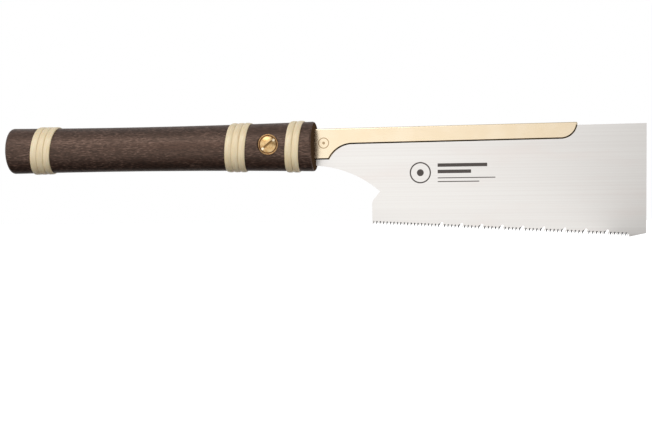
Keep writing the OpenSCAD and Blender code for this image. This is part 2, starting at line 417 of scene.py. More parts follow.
# A stretch of (210, 1900, 1900) means 210 noise cells to a metre along the grain and
# 1900 across it.

def beech_grain(n, place):
    """The fine streaks of beech along X, and its dark pores."""
    streak = n.noise(n.stretch(place, (210, 1900, 1900)), 3, 0.6)
    fibre = n.noise(n.stretch(place, (420, 4200, 4200), (5, 0, 2)), 3, 0.6)
    weave = n.math("ADD", n.math("MULTIPLY", streak, 0.6), n.math("MULTIPLY", fibre, 0.4))
    pore = n.span(n.cells(n.stretch(place, (500, 2600, 2600), (1, 5, 3))), 0.2, 0.06)
    return weave, pore


def beech_flecks(n, place):
    """Pale ray flecks, thicker in some patches than in others."""
    patch = n.noise(n.stretch(place, (24, 50, 50), (3, 1, 2)), 1)
    ray = n.noise(n.stretch(place, (330, 1900, 1900), (1, 4, 9)), 1, 0.4)
    return n.math("MULTIPLY", n.span(ray, 0.52, 0.7), n.span(patch, 0.35, 0.6, 0.35, 1.0))


def roasted_beech():
    """Dark roasted beech, seen mostly by the soft sheen of its oiled surface."""
    look, n, shader = surface("roasted_beech", IOR=1.6, Specular_IOR_Level=0.66)
    shader.inputs["Specular Tint"].default_value = (1.0, 0.69, 0.55, 1)
    place = n.place()
    weave, pore = beech_grain(n, place)
    fleck = beech_flecks(n, place)
    band = n.noise(n.stretch(place, (8, 150, 110)), 2)
    colour = n.mix(n.span(weave, 0.42, 0.6), rgb("050302"), rgb("392720"))
    colour = n.mix(n.math("MULTIPLY", n.span(band, 0.5, 0.75), 0.35), colour, rgb("3f261b"))
    colour = n.mix(n.math("MULTIPLY", pore, 0.7), colour, rgb("0a0605"))
    colour = n.mix(n.math("MULTIPLY", fleck, 0.7), colour, rgb("775f53"))
    relief = n.math("SUBTRACT", weave, n.math("MULTIPLY", pore, 0.6))
    connect(n, shader, Base_Color=colour, Normal=n.bump(relief, 0.05, 0.6),
            Roughness=n.span(weave, 0.4, 0.6, 0.6, 0.36))
    return look


def end_grain():
    """The dull, dark ends of the handle, where the pores are cut across."""
    look, n, shader = surface("end_grain", Specular_IOR_Level=0.0)
    weave, pore = beech_grain(n, n.place())
    colour = n.mix(n.span(weave, 0.35, 0.65), rgb("3a2a1e"), rgb("5c4632"))
    colour = n.mix(n.math("MULTIPLY", pore, 0.8), colour, rgb("0d0806"))
    relief = n.math("SUBTRACT", weave, pore)
    connect(n, shader, Base_Color=colour, Normal=n.bump(relief, 0.06, 0.7),
            Roughness=n.span(weave, 0.35, 0.65, 0.95, 0.8))
    return look


def rattan_cane():
    """Split cane: pale, glossy skin with long fibres and a few darker seams."""
    look, n, shader = surface("rattan_cane", Coat_Weight=0.25, Coat_Roughness=0.22,
                              Subsurface_Weight=0.12)
    shader.inputs["Subsurface Radius"].default_value = (1.0, 0.6, 0.3)
    shader.inputs["Subsurface Scale"].default_value = 0.8 * MM
    lay = n.add("ShaderNodeAttribute", attribute_name="lay").outputs["Vector"]
    fibre = n.noise(n.stretch(lay, (3.5, 16, 1)), 4, 0.6)
    thread = n.noise(n.stretch(lay, (9, 60, 1), (4, 2, 0)), 2)
    stain = n.noise(n.stretch(lay, (2.2, 1.3, 1), (7, 5, 0)), 2)
    across = n.axes(lay)[1]
    edge = n.span(n.math("ABSOLUTE", across), 0.78, 1.0)
    colour = n.mix(n.span(fibre, 0.32, 0.68), rgb("dfc698"), rgb("f5e8ca"))
    colour = n.mix(n.math("MULTIPLY", n.span(stain, 0.5, 0.75), 0.5), colour, rgb("e4cb98"))
    colour = n.mix(n.math("MULTIPLY", n.span(thread, 0.62, 0.78), 0.4), colour, rgb("c0a470"))
    # Painted shade: each strand is darker towards its two edges, where it meets the next strand.
    colour = n.mix(n.math("MULTIPLY", edge, 0.25), colour, rgb("c4a871"))
    relief = n.math("ADD", fibre, n.math("MULTIPLY", thread, 0.5))
    connect(n, shader, Base_Color=colour, Roughness=n.span(thread, 0.3, 0.7, 0.34, 0.5),
            Normal=n.bump(relief, 0.12, 0.6))
    return look


def brushed(n, scale_x, rough_low, rough_high, depth):
    """Brushing along X: its roughness, its bump, and its broad and fine streaks."""
    place = n.place()
    fine = n.noise(n.stretch(place, (scale_x, 3000, 9000)), 3, 0.65)
    broad = n.noise(n.stretch(place, (scale_x / 4, 500, 900), (2, 3, 4)), 2)
    both = n.math("ADD", n.math("MULTIPLY", fine, 0.7), n.math("MULTIPLY", broad, 0.3))
    return n.span(both, 0.3, 0.7, rough_low, rough_high), n.bump(both, depth, 0.7), broad, fine


def between(n, value, low, high, soft=0.06):
    """1 where value, in millimetres, lies between low and high, with soft edges."""
    rise = n.span(value, low - soft, low + soft)
    fall = n.span(value, high + soft, high - soft)
    return n.math("MULTIPLY", rise, fall)


def ring_mark(n, place, mark):
    """A generic mark on the near side: a ring round a dot, and plain bars beside it."""
    u0, v0, ring_r, line_w, dot_r, bars = mark
    x, y, z = n.axes(place)
    du = n.math("SUBTRACT", n.math("DIVIDE", x, MM), HANDLE_LEN + u0)
    dv = n.math("SUBTRACT", n.math("DIVIDE", z, MM), v0)
    reach = n.math("SQRT", n.math("ADD", n.math("MULTIPLY", du, du), n.math("MULTIPLY", dv, dv)))
    ring = between(n, reach, ring_r - line_w, ring_r)
    inked = n.math("MAXIMUM", ring, between(n, reach, -1, dot_r))
    for low, high, start, end in bars:
        bar = n.math("MULTIPLY", between(n, dv, low, high), between(n, du, start, end))
        inked = n.math("MAXIMUM", inked, bar)
    return n.math("MULTIPLY", inked, n.span(y, 0.0, -0.2 * MM))


def sheet_brass():
    """Satin sheet brass, brushed along its length, with a small stamped mark."""
    look, n, shader = surface("sheet_brass", Metallic=1.0)
    rough, normal, _, fine = brushed(n, 26, 0.18, 0.25, 0.003)
    place = n.place()
    spot = n.noise(n.stretch(place, (60, 60, 60)), 4)
    colour = n.mix(n.span(spot, 0.35, 0.7), rgb("f7e3c3"), rgb("fae8cb"))
    colour = n.mix(n.math("MULTIPLY", n.span(fine, 0.55, 0.8), 0.25), colour, rgb("eed7ae"))
    stamped = n.math("MULTIPLY", ring_mark(n, place, BRASS_MARK), 0.75)
    colour = n.mix(stamped, colour, rgb("8f6f43"))
    connect(n, shader, Base_Color=colour, Roughness=rough, Normal=normal)
    return look


def filed_brass():
    """The filed lower edge of the brass: smoother, and painted dark brown as the shade and dark
    reflection along that edge.
    """
    look, n, shader = surface("filed_brass", Metallic=1.0)
    place = n.place()
    file_marks = n.noise(n.stretch(place, (120, 2500, 2500)), 3)
    spot = n.noise(n.stretch(place, (200, 200, 200)), 4)
    # Painted shade: this colour is far darker than the brass, standing in for the dark line of shade
    # along the edge.
    colour = n.mix(n.span(spot, 0.35, 0.7), rgb("564325"), rgb("746040"))
    connect(n, shader, Base_Color=colour, Roughness=n.span(file_marks, 0.3, 0.7, 0.14, 0.24),
            Normal=n.bump(file_marks, 0.004, 0.5))
    return look


def turned_brass(name, low, high):
    """Lathe-turned brass: fine rings about the screw's axis. Its slots are painted dark inside
    as shade, and painted bright at their ends as a glint."""
    look, n, shader = surface(name, Metallic=1.0)
    place = n.place()
    x, y, z = n.axes(place)
    dx = n.math("SUBTRACT", n.math("DIVIDE", x, MM), SCREW_X)
    dz = n.math("SUBTRACT", n.math("DIVIDE", z, MM), SCREW_Z)
    square = n.math("ADD", n.math("MULTIPLY", dx, dx), n.math("MULTIPLY", dz, dz))
    reach = n.math("SQRT", square)
    ring = n.add("ShaderNodeCombineXYZ", {0: n.math("MULTIPLY", reach, 5.2)}).outputs[0]
    lathe = n.noise(ring, 2, 0.6)
    face = n.math("SUBTRACT", HEAD_EDGE + DOME, n.math("MULTIPLY", square, DOME / HEAD_R ** 2))
    below = n.math("SUBTRACT", face, n.math("ABSOLUTE", n.math("DIVIDE", y, MM)))
    on_head = n.span(reach, HEAD_R + 0.1, HEAD_R - 0.1)
    # Painted shade: the colour is darkened inside the slots, below the dome's face.
    painted_slot_shade = n.math("MULTIPLY", n.span(below, 0.25, 1.1), on_head)
    spot = n.noise(n.stretch(place, (420, 420, 420)), 4)
    colour = n.mix(n.span(spot, 0.35, 0.7), low, high)
    colour = n.mix(n.math("MULTIPLY", painted_slot_shade, 0.75), colour, rgb("6a4a22"))
    # Painted highlight: the colour is lightened at both ends of each slot, as a glint.
    painted_slot_glint = n.math("MULTIPLY", n.span(below, 0.15, 0.35), n.span(reach, 3.9, 4.7))
    painted_slot_glint = n.math("MULTIPLY", painted_slot_glint, on_head)
    colour = n.mix(n.math("MULTIPLY", painted_slot_glint, 0.95), colour, rgb("ffefd0"))
    connect(n, shader, Base_Color=colour, Roughness=n.span(spot, 0.3, 0.7, 0.25, 0.34),
            Normal=n.bump(lathe, 0.012, 0.6))
    return look


def blade_steel():
    """Brushed spring steel with an etched mark on its near side."""
    look, n, shader = surface("blade_steel", Metallic=1.0)
    rough, normal, broad, fine = brushed(n, 7, 0.325, 0.345, 0.0006)
    place = n.place()
    haze = n.noise(n.stretch(place, (14, 14, 60)), 3)
    colour = n.mix(n.span(broad, 0.3, 0.7), rgb("e9e5e1"), rgb("edeae6"))
    colour = n.mix(n.math("MULTIPLY", n.span(haze, 0.5, 0.75), 0.35), colour, rgb("e9ded8"))
    etched = n.math("MULTIPLY", ring_mark(n, place, BLADE_MARK), n.span(fine, 0.2, 0.45, 0.8, 1.0))
    colour = n.mix(etched, colour, rgb("5b5552"))
    connect(n, shader, Base_Color=colour, Normal=normal,
            Roughness=n.math("ADD", rough, n.math("MULTIPLY", etched, 0.25)))
    return look


def filed_steel():
    """The filed bevels of the teeth, darkened where the points were hardened."""
    look, n, shader = surface("filed_steel", Metallic=1.0)
    place = n.place()
    file_marks = n.noise(n.stretch(place, (6000, 600, 600)), 2)
    heat = n.noise(n.stretch(place, (500, 500, 500)), 2)
    colour = n.mix(n.span(heat, 0.35, 0.65), rgb("4a4644"), rgb("6b6663"))
    connect(n, shader, Base_Color=colour, Roughness=n.span(file_marks, 0.3, 0.7, 0.25, 0.45),
            Normal=n.bump(file_marks, 0.01, 0.5))
    return look


def plain_steel(name, light, dark):
    """Mill-finished or peened steel, mottled and dull."""
    look, n, shader = surface(name, Metallic=1.0)
    place = n.place()
    mottle = n.noise(n.stretch(place, (300, 300, 300)), 5, 0.6)
    scratch = n.noise(n.stretch(place, (40, 2500, 2500), (1, 2, 3)), 2)
    colour = n.mix(n.span(mottle, 0.3, 0.7), dark, light)
    relief = n.math("ADD", mottle, n.math("MULTIPLY", scratch, 0.5))
    connect(n, shader, Base_Color=colour, Roughness=n.span(mottle, 0.3, 0.7, 0.35, 0.55),
            Normal=n.bump(relief, 0.02, 0.5))
    return look


# Wooden handle -------------------------------------------------------------------

def handle_stations():
    """(x, inset) pairs: places along the handle, and how far the section is drawn in."""
    butt = [(BUTT_ROUND * (1 - math.cos(a)), BUTT_ROUND * (1 - math.sin(a)))
            for a in (math.radians(9 * i) for i in range(10))]
    front = [(HANDLE_LEN - FRONT_ROUND * (1 - math.sin(a)), FRONT_ROUND * (1 - math.cos(a)))
             for a in (math.radians(11.25 * i) for i in range(9))]
    start, end, steps = BUTT_ROUND, HANDLE_LEN - FRONT_ROUND, 118
    side = [(start + (end - start) * i / steps, 0.0) for i in range(1, steps)]
    return butt + side + front


def half_section(x, inset, side):
    """One half of the round section, its two long edges broken along the glue line."""
    steps = 72
    h = half_h(x) - inset
    edge = math.asin(GLUE_CHAMFER / h)
    ring = [(x, side * GLUE_GAP, -(h - GLUE_CHAMFER))]
    for i in range(steps + 1):
        a = -math.pi / 2 + edge + (math.pi - 2 * edge) * i / steps
        wear = noise.noise(Vector((x / 30, 3 * math.cos(a), 3 * math.sin(a) + side)))
        reach = h - abs(WEAR * wear)
        ring.append((x, side * reach * math.cos(a), reach * math.sin(a)))
    ring.append((x, side * GLUE_GAP, h - GLUE_CHAMFER))
    return ring


def seat_cutter(side, hole_r):
    """The stepped seat for a cup washer, with the hole behind it."""
    outer = WASHER_R + 0.1
    floor = CUP_LOW - 0.1
    cone_low, cone_high = 4.4, 6.9
    beyond = 25
    profile = [(hole_r, -1), (hole_r, floor), (cone_low, floor)]
    profile += [(cone_high, SEAT_T), (outer, SEAT_T), (outer, beyond)]
    return loft("seat_cutter", about_screw(profile, side))


def is_end(face):
    """Whether a face of the wood is end grain."""
    return abs(face.normal.x) > 0.8


def wooden_half(name, side, hole_r, look, end_look, node):
    """Half of the handle, with its half of the mortise and a seat for a cup washer."""
    rings = [half_section(x, inset, side) for x, inset in handle_stations()]
    half = loft(name, rings)
    mouth = box_outline(MORTISE_U, 6, -MORTISE_H, MORTISE_H)
    cut(half, prism("mortise_cutter", mouth, -MORTISE_T, MORTISE_T), seat_cutter(side, hole_r))
    ease_edges(half, 0.16, 50)
    two_looks(half, look, end_look, is_end)
    finish_piece(half, "handle", "roasted_beech", look, node)


# Rattan wraps --------------------------------------------------------------------

def strand_height(across, crown, turn, seed):
    """Height of the cane's face: a crown, with shallow fibre ridges along it."""
    body = crown + (1 - crown) * (1 - abs(across) ** 2.2)
    lip = 1 - 0.3 * max(0.0, abs(across) - 0.86) / 0.14
    ridge = noise.noise(Vector((across * 5.5 + seed, turn * 0.8, seed)))
    fine = noise.noise(Vector((across * 14 + seed, turn * 2.5, -seed)))
    return body * lip - 0.05 - 0.05 * ridge - 0.02 * fine


def wound_cane(name, node, turns, crown, lean, look):
    """Cane wound side by side. Both ends are shaved thin and tucked in at the back."""
    per_turn = 96
    across_steps = 20
    end_t = 0.15            # thickness left at a shaved end, as a part of the full one
    end_turns = 0.09        # length of a shaved end
    seed = middle_x(node) / 10
    start = middle_x(node) - turns * CANE_W / 2
    half_w = CANE_W / 2 - 0.01
    total = turns * per_turn
    rings = []
    lay = []
    for i in range(total + 1):
        turn = i / per_turn
        from_end = min(turn, turns - turn)
        tuck = min(1.0, end_t + from_end / end_turns)
        inwards = 1 if turn < turns / 2 else -1
        drift = inwards * half_w * 0.75 * (1 - tuck)
        wobble = 0.1 * noise.noise(Vector((turn * 2.1, seed, 0)))
        shift = drift + wobble * tuck
        ring = []
        for j in range(across_steps + 1):
            across = -1 + 2 * j / across_steps
            face = max(0.05, strand_height(across, crown, turn, seed))
            d = CANE_LOW + (CANE_T - CANE_LOW) * face * tuck
            ring.append(cane_point(start, lean, turn, across * half_w * tuck + shift, d))
            lay.append((turn * 3, across, 0))
        for across in (1, 0, -1):
            ring.append(cane_point(start, lean, turn, across * half_w * tuck + shift, CANE_LOW))
            lay.append((turn * 3, across, 0))
        rings.append(ring)
    wrap = loft(name, rings, 50)
    attribute = wrap.data.attributes.new("lay", "FLOAT_VECTOR", "POINT")
    attribute.data.foreach_set("vector", [c for p in lay for c in p])
    finish_piece(wrap, "handle", "rattan_cane", look, node)


def cane_point(start, lean, turn, w, d):
    """A point of a wound cane: w along the handle, d above the wood. The wrap leans."""
    a = 2 * math.pi * turn
    x = start + turn * CANE_W + w - math.tan(lean) * half_h(start) * math.sin(a)
    h = half_h(x)
    return (x, (h + d) * math.cos(a), -(h + d) * math.sin(a))


# Clamp screw, nut and washers ----------------------------------------------------

def head_profile(stem_r, stem_end):
    """A raised head: its stem, then its cone, short rim with a broken edge, and dome."""
    edge_h = CUP_TOP - (WASHER_R - RIM_W - HEAD_R) * CUP_SLOPE + 0.06
    stem_top = edge_h - (HEAD_R - stem_r) * CUP_SLOPE
    dome_r = (HEAD_R ** 2 + DOME ** 2) / (2 * DOME)
    span = math.degrees(math.asin((HEAD_R - 0.15) / dome_r))
    dome = arc(0, HEAD_EDGE + DOME - dome_r, dome_r, 90 - span, 90, 14)
    dome[-1] = (0.05, HEAD_EDGE + DOME)
    edge = [(HEAD_R, edge_h), (HEAD_R, HEAD_EDGE - 0.18)]
    return [(stem_r, stem_end), (stem_r, stem_top)], edge + dome


def slotted_head(piece, side, angle):
    """Cuts the driver slot, and breaks the edges that the cut leaves."""
    top = side * (HEAD_EDGE + DOME)
    reach = HEAD_R * 2
    rings = []
    for y in (top - side * SLOT_H, top + side * 2):
        ring = []
        for a, b in ((-reach, -1), (reach, -1), (reach, 1), (-reach, 1)):
            across = b * SLOT_W / 2
            x = SCREW_X + a * math.cos(angle) - across * math.sin(angle)
            z = SCREW_Z + a * math.sin(angle) + across * math.cos(angle)
            ring.append((x, y, z))
        rings.append(ring)
    cut(piece, loft("slot_cutter", rings))
    ease_edges(piece, 0.13, 38)


def thread_depth(h, turn):
    """How far the thread is cut in at height h and part of a turn."""
    if h > THREAD_START:
        return 0.0
    phase = (h / THREAD_PITCH + turn) % 1
    run_out = min(1.0, THREAD_START - h)
    return THREAD_DEPTH * (1 - abs(2 * phase - 1)) * run_out


def slotted_screw(look):
    """The clamp screw, with a cut thread on its shank."""
    stem, head = head_profile(SHANK_R, -SHANK_END)
    (r, low), (_, high) = stem
    steps = int((high - low) / 0.1)
    chamfer = 0.4
    shank = [(r - chamfer, low)]
    shank += [(r, low + chamfer + (high - low - chamfer) * i / steps) for i in range(steps + 1)]
    screw = loft("slotted_screw", about_screw(shank + head, -1, 64, thread_depth))
    slotted_head(screw, -1, SCREW_SLOT_ANGLE)
    finish_piece(screw, "clamp_screw", "turned_brass", look, "clamp_screw")


def slotted_nut(look):
    """The barrel nut on the far side, bored to take the screw."""
    stem, head = head_profile(NUT_R, NUT_LOW)
    chamfer = [(NUT_R - 0.25, NUT_LOW), (NUT_R, NUT_LOW + 0.25)]
    nut = loft("slotted_nut", about_screw(chamfer + stem[1:] + head, 1))
    wide, narrow = SHANK_R + 0.35, SHANK_R + 0.05
    bore_end = 14.9
    bore = [(wide, NUT_LOW - 1), (wide, NUT_LOW + 0.05), (narrow, NUT_LOW + 0.35), (narrow, bore_end)]
    cut(nut, loft("bore_cutter", about_screw(bore, 1)))
    slotted_head(nut, 1, 0.0)
    finish_piece(nut, "handle", "turned_brass", look, "barrel_nut")


def cup(name, side, hole_r, body, look, node):
    """A stamped cup washer: a cone for the head and a rounded rim round it."""
    inner = WASHER_R - RIM_W
    hole_top = CUP_TOP - (inner - hole_r) * CUP_SLOPE
    bead = RIM_W / 2 - 0.03
    rim = arc(inner + bead, RIM_TOP - bead, bead, 180, 0, 14)
    eased = 0.12
    cone_low = 4.3
    profile = [(hole_r + eased, CUP_LOW), (hole_r, CUP_LOW + eased), (hole_r, hole_top - 0.1)]
    profile += [(hole_r + eased, hole_top), (inner - 0.1, CUP_TOP - 0.06), (inner, CUP_TOP + 0.05)]
    profile += rim + [(WASHER_R - 0.06, SEAT_T + 0.2), (WASHER_R - 0.2, SEAT_T + 0.05)]
    profile += [(inner, SEAT_T + 0.05), (cone_low, CUP_LOW)]
    rings = about_screw(profile, side, 128)
    size = len(rings[0])
    points = [p for ring in rings for p in ring]
    faces = ring_faces(len(rings), size)
    last = (len(rings) - 1) * size
    faces += [(last + j, last + (j + 1) % size, (j + 1) % size, j) for j in range(size)]
    finish_piece(mesh_object(name, points, faces), body, "turned_brass", look, node)


# Brass back ----------------------------------------------------------------------

def back_outline():
    """The outline of the brass, counter-clockwise from the tang.

    Each point is (u, v, edge size, straight): with straight 1 the edge is a filed
    chamfer, with 0 it is rounded. The top's edge is the round of the fold.
    """
    low = BACK_TOP - BACK_H
    hollow_v = low - ROOT_R
    hollow_a = 180 - math.degrees(math.asin((-BACK_TOP - hollow_v) / ROOT_R))
    hollow_u = ROOT_LEN - ROOT_R * math.cos(math.radians(hollow_a))
    nose = arc(BACK_LEN - NOSE_ROUND, BACK_TOP - NOSE_ROUND, NOSE_ROUND, 10, 80, 6)
    points = [(-TANG_LEN, -TANG_END, 0.25, 0), (TANG_START, -BACK_TOP, EDGE, 1)]
    points += [(ROOT_LEN - 0.3, -BACK_TOP, EDGE, 1)]
    points += [(u, v, EDGE, 1) for u, v in arc(hollow_u, hollow_v, ROOT_R, hollow_a, 90, 24)]
    points += [(u, v, EDGE, 1) for u, v in arc(BACK_LEN - BACK_H, BACK_TOP, BACK_H, -90, -8, 28)]
    points += [(u, v, EDGE * 0.8, 0.5) for u, v in nose]
    points += [(BACK_LEN - 3.5, BACK_TOP, FOLD_ROUND, 0), (TANG_START, BACK_TOP, FOLD_ROUND, 0)]
    points += [(-TANG_LEN, TANG_END, 0.4, 0)]
    return points


def inset_point(points, i, distance):
    """Point i of a closed counter-clockwise outline, moved inwards by a distance."""
    before = Vector(points[i - 1][:2])
    here = Vector(points[i][:2])
    after = Vector(points[(i + 1) % len(points)][:2])
    first = (here - before).normalized()
    second = (after - here).normalized()
    inward = Vector((-first.y, first.x)) + Vector((-second.y, second.x))
    inward.normalize()
    slant = max(0.35, inward.dot(Vector((-first.y, first.x))))
    return here + inward * (distance / slant)


def rounded_plate(name, points, thickness):
    """A plate from an outline like back_outline's, with the same edges on both sides."""
    steps = 6
    rings = []
    for side in (-1, 1):
        for k in range(steps + 1):
            a = math.pi / 2 * (1 - k / steps if side < 0 else k / steps)
            ring = []
            for i, (_, _, edge, straight) in enumerate(points):
                part = a / (math.pi / 2)
                inwards = (1 - math.cos(a)) * (1 - straight) + part * straight
                outwards = math.sin(a) * (1 - straight) + part * straight
                moved = inset_point(points, i, edge * inwards)
                ring.append(in_blade(moved.x, moved.y, side * (thickness / 2 - edge * (1 - outwards))))
            rings.append(ring)
    return loft(name, rings)


def screw_notch_cutter():
    """The notch that lets the tang slide off the loosened screw."""
    r = SHANK_R + 0.25
    outline = arc(-SCREW_BACK, 0, r, -90, 90, 24) + [(-TANG_LEN - 3, r), (-TANG_LEN - 3, -r)]
    return prism("notch_cutter", outline, -3, 3)


def rivet_hole_cutters():
    """One cutter for each rivet's hole."""
    return [prism("rivet_cutter", arc(RIVET_U, v, RIVET_R + 0.02, 0, 345, 23), -3, 3)
            for v in (RIVET_V, -RIVET_V)]


def is_filed(face):
    """Whether a face of the brass is one of its filed chamfers, below the fold."""
    above_spine = (Vector(face.center) / MM - SPINE).dot(ABOVE)
    return above_spine < BACK_TOP - 2 and 0.3 < abs(face.normal.y) < 0.95


def folded_brass(look, edge_look):
    """Sheet brass folded over the steel. The fold is the rounded top edge."""
    back = rounded_plate("folded_brass", back_outline(), BACK_T)
    gap = BLADE_T / 2 + 0.02
    room = box_outline(-TANG_LEN - 5, BACK_LEN + 5, -30, BLADE_TOP + 0.02)
    slot = prism("fold_cutter", room, -gap, gap)
    cut(back, slot, screw_notch_cutter(), *rivet_hole_cutters())
    shade(back, 30)
    two_looks(back, look, edge_look, is_filed)
    keep_flats_flat(back)
    finish_piece(back, "blade_unit", "sheet_brass", look, "brass_back")


# Toothed blade -------------------------------------------------------------------

def on_tooth_line(s, h):
    """A point s along the line of the teeth and h above it, along the spine."""
    c, d = math.cos(TOOTH_LINE), math.sin(TOOTH_LINE)
    return (HEEL_U + s * c + h * d, -HEEL_V - s * d + h * c)


def tooth_points():
    """The toothed edge as rows of (point, shift, filed from the near side, bent).

    Points are in the tooth line's own directions. The shift is how far the filed face
    stands back from the other one. Teeth are filed from the near and the far side in
    turn, and each one's point is bent away from its filed side.
    """
    rows = []
    s = 0.0
    count = 0
    for group, teeth in enumerate(TEETH):
        pitch = PITCH + PITCH_STEP * group
        for _ in range(teeth):
            filed_near = count % 2 == 0
            flat = TOOTH_FLAT * pitch
            rows.append(((s + flat, TOOTH_H), (FILED, FILED_RISE), filed_near, 0))
            rows.append(((s + LEAN * pitch, 0.0), (FILED * 0.45, FILED * 2.0), filed_near, 1))
            rows.append(((s + pitch - flat, TOOTH_H), (-FILED * 0.4, FILED_RISE), filed_near, 0))
            s += pitch
            count += 1
        if group < len(TEETH) - 1:
            r = GULLET_W / 2
            for p in arc(s + r + GULLET_LEAD + GULLET_LEAN, GULLET_H - r, r, 160, 20, 10):
                rows.append((p, (0.0, 0.0), True, 0))
            s += GULLET_W
    return rows, s


def blade_edge():
    """The outline as rows of (near point, far point, bend, filed from the near side).

    The last is None on the untoothed part.
    """
    rows, end = tooth_points()
    last_pitch = PITCH + PITCH_STEP * (len(TEETH) - 1)
    toe = on_tooth_line(end + LEAN * last_pitch, 0)
    outline = []
    for (s, h), (ds, dh), near, bent in rows:
        base = on_tooth_line(s, h)
        moved = on_tooth_line(s + ds, h + dh)
        bend = TOOTH_SET * bent * (1 if near else -1)
        outline.append((moved if near else base, base if near else moved, bend, near))
    cu, cv, r = SWEEP
    top_a = math.radians(SWEEP_END)
    heel_top = (cu + r * math.cos(top_a), cv + r * math.sin(top_a))
    turn = math.radians(90 - HEEL_SLOPE)
    slope_run = heel_top[0] - HEEL_U - HEEL_R * (1 - math.cos(turn))
    heel_start = heel_top[1] - slope_run / math.tan(turn) - HEEL_R * math.sin(turn)
    shoulder = math.degrees(math.acos((SHOULDER_U - cu) / r))
    tang_low = -BACK_TOP + 0.7
    tang_end = -TANG_LEN + 2
    plain = [toe, (toe[0] + TOE_FLAT, toe[1] + TOE_RISE), (TOE_U, BLADE_TOP)]
    plain += [(TANG_START, BLADE_TOP), (tang_end, TANG_END - 2.2), (tang_end, -TANG_END + 0.8)]
    plain += [(TANG_START, tang_low), (SHOULDER_U, tang_low)]
    plain += arc(cu, cv, r, shoulder, SWEEP_END, 40)
    plain += arc(HEEL_U + HEEL_R, heel_start, HEEL_R, 90 + HEEL_SLOPE, 180, 12)
    plain += [(HEEL_U, -HEEL_V + 0.6), (HEEL_U + 0.05, -HEEL_V + 0.1)]
    return outline + [(p, p, 0.0, None) for p in plain]


def toothed_blade(steel, filed):
    """The steel plate. Its two faces share no points, so each flank is a true bevel."""
    edge = blade_edge()
    near = [in_blade(a[0], a[1], -BLADE_T / 2 + bend) for a, b, bend, filed_near in edge]
    far = [in_blade(b[0], b[1], BLADE_T / 2 + bend) for a, b, bend, filed_near in edge]
    size = len(edge)
    faces = [tuple(range(size)), tuple(range(size, 2 * size))]
    faces += [(j, (j + 1) % size, (j + 1) % size + size, j + size) for j in range(size)]
    blade = mesh_object("toothed_blade", near + far, faces)
    blade.data.materials.append(steel)
    blade.data.materials.append(filed)
    teeth = [filed_near is not None for a, b, bend, filed_near in edge]
    for j in range(size):
        if teeth[j] and teeth[(j + 1) % size]:
            blade.data.polygons[2 + j].material_index = 1
    cut(blade, screw_notch_cutter(), *rivet_hole_cutters())
    shade(blade, 20)
    finish_piece(blade, "blade_unit", "blade_steel", steel, "saw_blade")


# Hidden pieces -------------------------------------------------------------------

def liner_channel(look):
    """A steel strip folded round the end of the mortise, with a hole for the screw."""
    inner, outer, front, rear = 1.6, 2.4, -0.5, -54.0
    inner_r, outer_r = 1.2, 2.0
    half_height = 12.0
    inside = arc(rear + outer_r, -inner + inner_r, inner_r, 270, 180, 8)
    outside = arc(rear + outer_r, -outer + outer_r, outer_r, 270, 180, 8)
    path = [(front, -outer), (front, -inner)] + inside
    path += [(u, -y) for u, y in reversed(inside)] + [(front, inner), (front, outer)]
    path += [(u, -y) for u, y in outside] + outside[::-1]
    rings = [[in_blade(u, v, y) for u, y in path] for v in (-half_height, half_height)]
    channel = loft("liner_channel", rings)
    hole = prism("liner_cutter", arc(-SCREW_BACK, 0, SHANK_R + 0.3, 0, 350, 35), -4, 4)
    cut(channel, hole)
    ease_edges(channel, 0.12, 60)
    finish_piece(channel, "handle", "liner_steel", look, "tang_liner")


def peened_rivet(name, v, look, node):
    """A short rivet, peened flush with a slight dome on each side of the brass."""
    steps = 40
    profile = [(0.05, -1.57), (0.8, -1.56), (1.3, -1.52), (RIVET_R - 0.01, -1.45), (RIVET_R, -1.35)]
    profile += [(r, -h) for r, h in reversed(profile)]
    rings = []
    for r, y in profile:
        ring = []
        for k in range(steps):
            a = 2 * math.pi * k / steps
            ring.append(in_blade(RIVET_U + r * math.cos(a), v + r * math.sin(a), y))
        rings.append(ring)
    finish_piece(loft(name, rings), "blade_unit", "rivet_steel", look, node)


# Camera, light and floor ---------------------------------------------------------

def aimed(right, up, back, place):
    """A matrix for an object that looks against back, in metres."""
    matrix = Matrix((right, up, back)).transposed().to_4x4()
    matrix.translation = place
    return matrix


def add_camera():
    """A level camera in front of the blade, turned to the left and rolled a little."""
    yaw = math.radians(9.4)
    roll = math.radians(0.486)
    place = Vector((0.42918, -1.0847, -0.05365))
    lens = bpy.data.cameras.new("camera")
    lens.lens = 80
    lens.sensor_width = 36
    lens.clip_end = 30
    camera = bpy.data.objects.new("camera", lens)
    bpy.context.scene.collection.objects.link(camera)
    flat = Vector((math.cos(yaw), math.sin(yaw), 0))
    right = flat * math.cos(roll) - Vector((0, 0, math.sin(roll)))
    up = flat * math.sin(roll) + Vector((0, 0, math.cos(roll)))
    back = Vector((math.sin(yaw), -math.cos(yaw), 0))
    camera.matrix_world = aimed(right, up, back, place)
    bpy.context.scene.camera = camera


def add_softbox(name, place, target, size, power):
    """A white area light at a place, aimed at a target, in metres and watts."""
    lamp = bpy.data.lights.new(name, "AREA")
    lamp.shape = "RECTANGLE"
    lamp.size, lamp.size_y = size
    lamp.energy = power
    box = bpy.data.objects.new(name, lamp)
    bpy.context.scene.collection.objects.link(box)
    aim = Vector(target) - Vector(place)
    box.matrix_world = aim.to_track_quat("-Z", "Y").to_matrix().to_4x4()
    box.location = place


def studio_light(n, way):
    """Strength of the light from a direction: in front it is full, fading to the right."""
    x, y, z = n.axes(way)
    in_front = n.span(y, 0.1, -0.6)
    front = n.span(x, 0.34, -0.26, 0.47, 1.17)
    side = n.math("MULTIPLY", n.math("SUBTRACT", front, BEHIND), in_front)
    overhead = n.span(z, 0.45, 0.95, 1.0, 0.7)
    return n.math("MULTIPLY", n.math("ADD", BEHIND, side), overhead)


